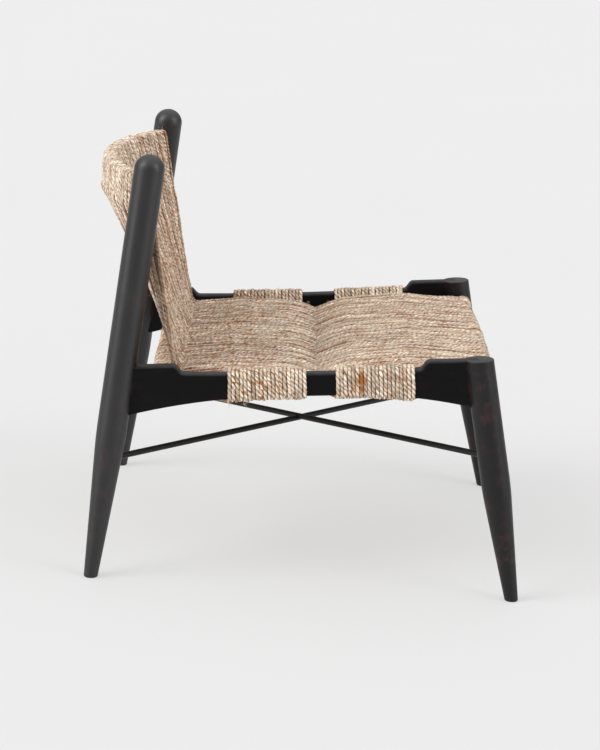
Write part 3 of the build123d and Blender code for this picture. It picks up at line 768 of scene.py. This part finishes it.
def seat_stain_and_shade(row, y, dip, sunk):
    """Stain colour on a seat rope, from 0 to 1: painted shade where it dips or sinks, and a
    painted shadow line on the first rope past the near bands.
    """
    # Painted shade, in the stain colour, where the edge ropes dip behind the rear band.
    stain_and_shade = DIP_SHADE_STAIN * dip
    # A patchy painted shadow line along the first rope seen past the near bands.
    if row == SHADOW_LINE_ROW:
        patchy = np.clip(0.5 + np.sin(y / 5.0) + 0.6 * np.sin(y / 1.9), 0, 1)
        stain_and_shade = stain_and_shade + 0.6 * patchy * (y < REAR_BAND_Y[1])
    return np.clip(stain_and_shade + SINK_SHADE_STAIN * sunk, 0, 1)


def seat_ropes(groups):
    """All lengthwise ropes of the seat, in groups of neighbours with one mesh each."""
    loop = smooth_line(seat_loop(), RING_STEP / 2, SEAT_ROUNDING, True)
    # The loop starts and ends low under the front, so that a rope's ends are hidden.
    miss = np.abs(loop[:, 0] - SEAT_START[0]) + 3 * np.abs(loop[:, 1] - SEAT_START[1])
    loop = np.roll(loop, -int(np.argmin(miss)), axis=0)
    loop = np.vstack([loop, loop[:1]])
    y, z = loop[:, 0], loop[:, 1]
    heights = np.array([seat_top(v) for v in y])
    seen = z > heights - SEEN_DEPTH
    seen |= (y < FRONT_RAIL_Y) | (y > REAR_RAIL_Y)
    picks = keep_where(loop, seen)
    y, z, seen, heights = y[picks], z[picks], seen[picks], heights[picks]
    # Ropes are pressed together where they cross, and where the back ropes go down past them.
    squeeze = bell(y, CROSS_Y, CROSS_REACH) * (z > CROSS_Z)
    corner = bell(y - BACK_FRONT_END[0], 4, BACK_REACH) * (z > BACK_Z)
    narrower, taller = CROSS_SQUEEZE
    wide = ROW_FILL * ROW_GAP / ROPE_D * (1 - narrower * squeeze) * (1 - BACK_SQUEEZE * corner)
    tall = 1 + taller * squeeze
    # Ropes from the front rail and from the rear rail pass between each other.
    aside = np.where(y < CROSS_Y, -CROSS_SHIFT, CROSS_SHIFT)
    blur = np.ones(2 * CROSS_BLUR + 1) / (2 * CROSS_BLUR + 1)
    shift = np.convolve(np.pad(aside, CROSS_BLUR, mode="edge"), blur, "valid")
    spread = 1 + FRONT_SPREAD * ramp(-y, *SPREAD_RAMP)
    proud = NOSE_PROUD * ramp(-y, *NOSE_RAMP_Y) * ramp(z, *NOSE_RAMP_Z)
    behind = ramp(y, REAR_BAND_Y[1], DIP_RAMP) * (z > heights - DIP_LAYER)
    for g, members in enumerate(np.array_split(np.arange(ROWS), groups)):
        mesh = RopeMesh(np.random.default_rng(SEAT_SEED + g))
        for row in members:
            x = (-SEAT_HALF_W + ROW_GAP * (row + 0.5 + shift)) * spread
            # The slack turns are fullest a little left of the middle.
            fullness = np.clip(1.1 - (x / SEAT_HALF_W - NOSE_FULLEST) ** 2, NOSE_LEAST, 1)
            dip = behind * EDGE_DIP.get(row, 0.0)
            line = np.stack([x, y - proud * fullness, z - dip], 1)
            across = np.tile([1.0, 0.0, 0.0], (len(line), 1))
            # Sunken stretches are painted darker and stained, as painted shade.
            sunk = sinking(row, y, 0.0) * seen
            mesh.strand(line, across, seen, wide, tall, seat_stain_and_shade(row, y, dip, sunk), sunk)
        mesh.make(f"seat_rope_{g + 1}", ROPE, ("seat_rope",))


# ---- rope bands ---------------------------------------------------------------------
def band_loop(y):
    """One loop of a band from the front, as (x, z), starting low in the middle."""
    rail = rail_x(y)
    outer, inner = rail + RAIL_T / 2, rail - RAIL_T / 2
    top, low = rail_top(y), rail_bottom(y) - LAYER_GAP
    run = seat_top(y) - ROPE_D - LAYER_GAP - ROPE_R
    up_r, low_r = RAIL_EDGE_R
    half = [(0.0, low - ROPE_R), (inner, low - ROPE_R)]
    half += arc((outer - low_r, low + low_r), low_r + ROPE_R, -90, 0, 5)
    half += arc((outer - up_r, top - up_r), up_r + ROPE_R, 0, 90, 6)
    half += arc((inner + up_r, top - up_r), up_r + ROPE_R, 90, 125, 4)
    half += [(SEAT_HALF_W + 2 * LAYER_GAP, run), (0.0, run)]
    mirrored = [(-x, z) for x, z in half[::-1]]
    return half + mirrored[1:]


def band_stain(row, y, x, z):
    """How stained a rope of the front band is outside the left rail, or None."""
    if abs(row - STAINED_ROW) > 1:
        return None
    blot = bell((z - rail_bottom(y)) / RAIL_H, STAIN_AT, STAIN_TALL)
    even, ripple, dark = STAIN_LEVEL
    if row == STAINED_ROW:
        stain = even + ripple * np.sin(z / STAIN_RIPPLE) + dark * blot
    else:
        stain = STAIN_BESIDE * blot
    return np.clip(stain, 0, 1) * (x < -rail_x(y))


def rope_band(name, ends, skew, groups):
    """One crosswise band between the two ends in Y, in groups with one mesh each."""
    gap = (ends[1] - ends[0]) / BAND_ROPES
    for g, members in enumerate(np.array_split(np.arange(BAND_ROPES), groups)):
        mesh = RopeMesh(np.random.default_rng(BAND_SEED + g + int(ends[1])))
        for row in members:
            y = ends[0] + gap * (row + 0.5)
            loop = smooth_line(band_loop(y), RING_STEP / 2, TIGHT_ROUNDING, False)
            seen = np.abs(loop[:, 0]) > SEAT_HALF_W - BAND_SEEN
            picks = keep_where(loop, seen)
            x, z = loop[picks].T
            slid = skew * np.clip((x / rail_x(y) + 1) / 2, 0, 1)
            # The winding moves on by one rope along its lower run.
            low = np.clip((rail_bottom(y) - z) / ROPE_R, 0, 1)
            slid = slid + gap * np.clip(-x / SEAT_HALF_W, -1, 1) / 2 * low
            # It lies square to the side rails, which slope.
            slid = slid + RAIL_SLOPE * (rail_line(y) - z)
            line = np.stack([x, y + slid, z], 1)
            across = np.tile([0.0, 1.0, 0.0], (len(line), 1))
            stain = band_stain(row, y, x, z) if name == "front_rope_band" else None
            mesh.strand(line, across, seen[picks], *BAND_SECTION, stain)
        mesh.make(f"{name}_{g + 1}", ROPE, (name,))


# ---- back ropes ---------------------------------------------------------------------
def back_loop(x_top, from_edge):
    """One loop of the back rope as (share from top to bottom, y, z) points.

    from_edge counts the ropes between this one and the nearer side of the back, where
    the rear layer curves forward to meet the front one.
    """
    bend = math.sqrt(BACK_R**2 - x_top**2)
    rear = BACK_Y - BACK_R + bend - ROPE_R
    front = BACK_Y - BACK_R + bend - BACK_DEEP + ROPE_R
    z0, z1 = TOP_RAIL_Z
    crest = z1 + ROPE_R
    turn_r = BACK_CREST_R
    front_low = (BACK_FRONT_END[0] + ROPE_R, BACK_FRONT_END[1])
    rear_low = (BACK_REAR_END[0] - ROPE_R, BACK_REAR_END[1])
    slat_y, slat_r = LOWER_RAIL_Y, LOWER_RAIL_T / 2 + ROPE_R
    slat0, slat1 = LOWER_RAIL_Z
    # Up the slat's front face and the front layer, and over the top rail.
    loop = [(1.0, slat_y - slat_r, slat0 + 8), (1.0, slat_y - slat_r + 1, slat1)]
    loop += [(1.0, *front_low)]
    loop += [(0.0, front, crest - turn_r)]
    loop += [(0.0, *p) for p in arc((front + turn_r, crest - turn_r), turn_r, 180, 90, 6)]
    loop += [(0.0, *p) for p in arc((rear - turn_r, crest - turn_r), turn_r, 90, 0, 6)]
    loop += [(0.0, rear, z0)]
    for step in np.linspace(0.2, 1.0, 5):
        z = z0 + (rear_low[1] - z0) * step
        down = (crest - z) / (crest - front_low[1])
        ahead = front + (front_low[0] - front) * down
        behind = rear + (rear_low[0] - rear) * step
        pulled = ahead + max(0.95 * ROPE_D, (behind - ahead) * (0.15 + 0.2 * from_edge))
        share = min(step * 1.6, 1.0) * (from_edge < BACK_EDGE_ROWS)
        loop.append((step, behind + (min(pulled, behind) - behind) * share, z))
    # Down behind the slat and round under it, to end on its front face below the start.
    loop += [(1.0, slat_y + slat_r, slat1), (1.0, slat_y + slat_r, slat0 + 6)]
    return loop + [(1.0, slat_y, slat0 - ROPE_R), (1.0, slat_y - slat_r, slat0 + 2)]


def back_ropes(groups):
    """All ropes of the back, in groups of neighbours with one mesh each."""
    count = ROWS - 1
    angles = np.linspace(-1, 1, 2 * count + 1)[1::2] * math.asin(BACK_TOP_HALF_W / BACK_R)
    hidden_to = SEAT_TOP[-2][1] + rail_line(BACK_FRONT_END[0]) - BACK_HIDDEN
    for g, members in enumerate(np.array_split(np.arange(count), groups)):
        mesh = RopeMesh(np.random.default_rng(BACK_SEED + g))
        for row in members:
            x_top = BACK_R * math.sin(angles[row])
            # Low down it passes between two seat ropes, which have moved aside there.
            x_low = -SEAT_HALF_W + ROW_GAP * (row + 1.0 + CROSS_SHIFT)
            from_edge = min(row, count - 1 - row)
            route = back_loop(x_top, from_edge)
            loop = smooth_line(route, RING_STEP / 2, TIGHT_ROUNDING, False)
            share, y, z = loop.T
            x = x_top + (x_low - x_top) * share
            line = np.stack([x, y, z], 1)
            seen = z > hidden_to
            picks = keep_where(line, seen)
            line, share, seen, z = line[picks], share[picks], seen[picks], z[picks]
            turn = angles[row] * (1 - share)
            across = np.stack([np.cos(turn), -np.sin(turn), 0 * turn], 1)
            pinched = 1 - BACK_PINCH * ramp(share, *BACK_PINCH_RAMP)
            wide = (BACK_SECTION[0] + BACK_SECTION[1] * share) * pinched
            # Sunken stretches are painted darker and stained, as painted shade.
            sunk = sinking(row, z, 2.0) * seen * (share > 0)
            mesh.strand(line, across, seen, wide, 1.0, SINK_SHADE_STAIN * sunk, sunk)
        mesh.make(f"back_rope_{g + 1}", ROPE,
                  ("back_rope_front", "back_rope_rear", "back_rope_turns"))


# ---- stray fibres -------------------------------------------------------------------
def frayed_end(rng, root, direction, count, reach):
    """Fibres that fan out of a cut rope end."""
    for _ in range(count):
        way = np.array(direction) + rng.normal(0, FRAY_LEAN, 3)
        start = np.array(root) + rng.normal(0, FRAY_SPREAD, 3)
        STRAYS.append((start, way, reach * rng.uniform(0.5, 1)))


def frayed_ends(rng):
    """Fibres at the rope's cut ends, and at two spots where it is worn."""
    edge = math.sqrt(BACK_R**2 - BACK_TOP_HALF_W**2) + BACK_Y - BACK_R
    near_low = rail_bottom(REAR_BAND_Y[1] - 4)
    # The back's upper right and lower left corners.
    frayed_end(rng, (BACK_TOP_HALF_W, edge - 14, TOP_RAIL_Z[1] + 3), (0.2, -0.5, 1), 26, 15.0)
    frayed_end(rng, (-SEAT_HALF_W, BACK_FRONT_END[0] + 4, 356), (-0.6, 0.5, 0.4), 14, 12.0)
    # Under the left end of the rear band.
    frayed_end(rng, (-rail_x(130) - 12, 130, near_low - 5), (0, 0.2, -1), 16, 11.0)
    frayed_end(rng, (-rail_x(110) - 12, 108, near_low - 4), (0, -0.9, -0.6), 12, 16.0)
    # Worn spots on the right end of the rear band and on the left of the seat.
    frayed_end(rng, (rail_x(60), 62, rail_top(60) + 6), (0, 0.2, 1), 5, 12.0)
    frayed_end(rng, (-SEAT_HALF_W + 30, 40, seat_top(40)), (-0.2, -0.7, 0.8), 5, 12.0)


def stray_fibres():
    """Every stray fibre as a thin three-sided hair that curves and thins to its tip."""
    rng = np.random.default_rng(FIBRE_SEED)
    frayed_ends(rng)
    verts, faces = [], []
    corners = np.radians([90, 210, 330])
    for root, way, reach in STRAYS:
        way = way / np.linalg.norm(way)
        side = np.cross(way, rng.normal(0, 1, 3))
        side /= np.linalg.norm(side)
        up = np.cross(way, side)
        curl = rng.normal(0, FIBRE_CURL)
        thick = rng.uniform(*FIBRE_THICK)
        first = len(verts)
        tip = first + 3 * (FIBRE_SECTIONS - 1)
        for k in range(FIBRE_SECTIONS):
            t = k / (FIBRE_SECTIONS - 1)
            middle = root + way * reach * t + side * reach * curl * t * t
            for a in corners:
                radius = thick * (1 - FIBRE_TAPER * t)
                verts.append(middle + radius * (math.cos(a) * side + math.sin(a) * up))
        for ring in range(first, tip, 3):
            for j in range(3):
                a, b = ring + j, ring + (j + 1) % 3
                faces.append((a, b, b + 3, a + 3))
        faces.append((first + 2, first + 1, first))
        faces.append((tip, tip + 1, tip + 2))
    verts = np.array(verts)
    verts[:, 1] += MOVE_Y
    me = bpy.data.meshes.new("stray_fibres")
    me.from_pydata((verts * MM).tolist(), [], faces)
    me.materials.append(fibre_material())
    ob = bpy.data.objects.new("stray_fibres", me)
    bpy.context.scene.collection.objects.link(ob)
    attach(ob, "root")


# ---- stage --------------------------------------------------------------------------
def lay_floor():
    """A large pale floor that glows a little, so that shadows on it stay faint."""
    me = bpy.data.meshes.new("floor")
    across = [FLOOR_SIDE * (i / FLOOR_STEPS - 0.5) for i in range(FLOOR_STEPS + 1)]
    grid = [(x, y, 0.0) for x in across for y in across]
    faces = []
    for i in range(FLOOR_STEPS):
        for j in range(FLOOR_STEPS):
            a = i * (FLOOR_STEPS + 1) + j
            b = a + FLOOR_STEPS + 1
            faces.append((a, b, b + 1, a + 1))
    me.from_pydata(grid, [], faces)
    floor = bpy.data.objects.new("floor", me)
    bpy.context.scene.collection.objects.link(floor)
    n = Nodes("pale_floor")
    tint = n.noise(n.place(), 1.4, 2.0, 0.5)
    n.set(n.shader, "Base_Color", n.blend(tint, *FLOOR_SHADES))
    n.set(n.shader, "Roughness", n.span(tint, 0.3, 0.7, 0.85, 0.95))
    n.plain(Specular_IOR_Level=0.1, Emission_Color=WHITE, Emission_Strength=FLOOR_GLOW)
    me.materials.append(n.material)


def light_dome():
    """White light from above, brightest towards the top, over a pale horizon."""
    dome = Nodes.for_world("studio")
    way = dome.add("ShaderNodeTexCoord").outputs["Generated"]
    height = dome.parts(way)[2]
    dome.plain(Color=WHITE)
    # The horizon is as pale as the floor, so that the floor's far edge doesn't show.
    horizon = dome.span(height, 0.0, 0.05, 0.62, 0.0)
    sky = dome.span(height, 0.05, 0.40, 0.22, 0.62)
    dome.set(dome.shader, "Strength", dome.math("ADD", horizon, sky))


def sun(name, place, spread, strength):
    """A distant soft light from the direction of place, spread degrees across."""
    data = bpy.data.lights.new(name, "SUN")
    data.angle = math.radians(spread)
    data.energy = strength
    ob = bpy.data.objects.new(name, data)
    ob.matrix_world = (-Vector(place)).to_track_quat("-Z", "Y").to_matrix().to_4x4()
    bpy.context.scene.collection.objects.link(ob)


def camera():
    """A long lens four metres left of the chair and 1.3 m up, tilted down at it."""
    x, y, z = CAMERA_PLACE
    place = Vector((x, y + MOVE_Y, z)) * MM
    yaw, pitch, roll = CAMERA_TURNS
    look = Vector((math.cos(pitch) * math.cos(yaw), math.cos(pitch) * math.sin(yaw),
                   -math.sin(pitch)))
    right = look.cross(Vector((0, 0, 1))).normalized()
    up = right.cross(look)
    turned = right * math.cos(roll) + up * math.sin(roll)
    raised = up * math.cos(roll) - right * math.sin(roll)
    turn = Matrix((turned, raised, -look)).transposed()
    data = bpy.data.cameras.new("camera")
    data.lens = CAMERA_LENS
    data.sensor_width = CAMERA_SENSOR
    data.clip_end = CAMERA_REACH
    ob = bpy.data.objects.new("camera", data)
    ob.matrix_world = Matrix.Translation(place) @ turn.to_4x4()
    bpy.context.scene.collection.objects.link(ob)
    bpy.context.scene.camera = ob


camera()
lay_floor()
light_dome()
for light in SUNS:
    sun(*light)
finish_frame()
seat_ropes(9)
rope_band("front_rope_band", FRONT_BAND_Y, BAND_SKEW[0], 3)
rope_band("rear_rope_band", REAR_BAND_Y, BAND_SKEW[1], 3)
back_ropes(8)
stray_fibres()
bpy.context.scene.view_settings.view_transform = "Standard"
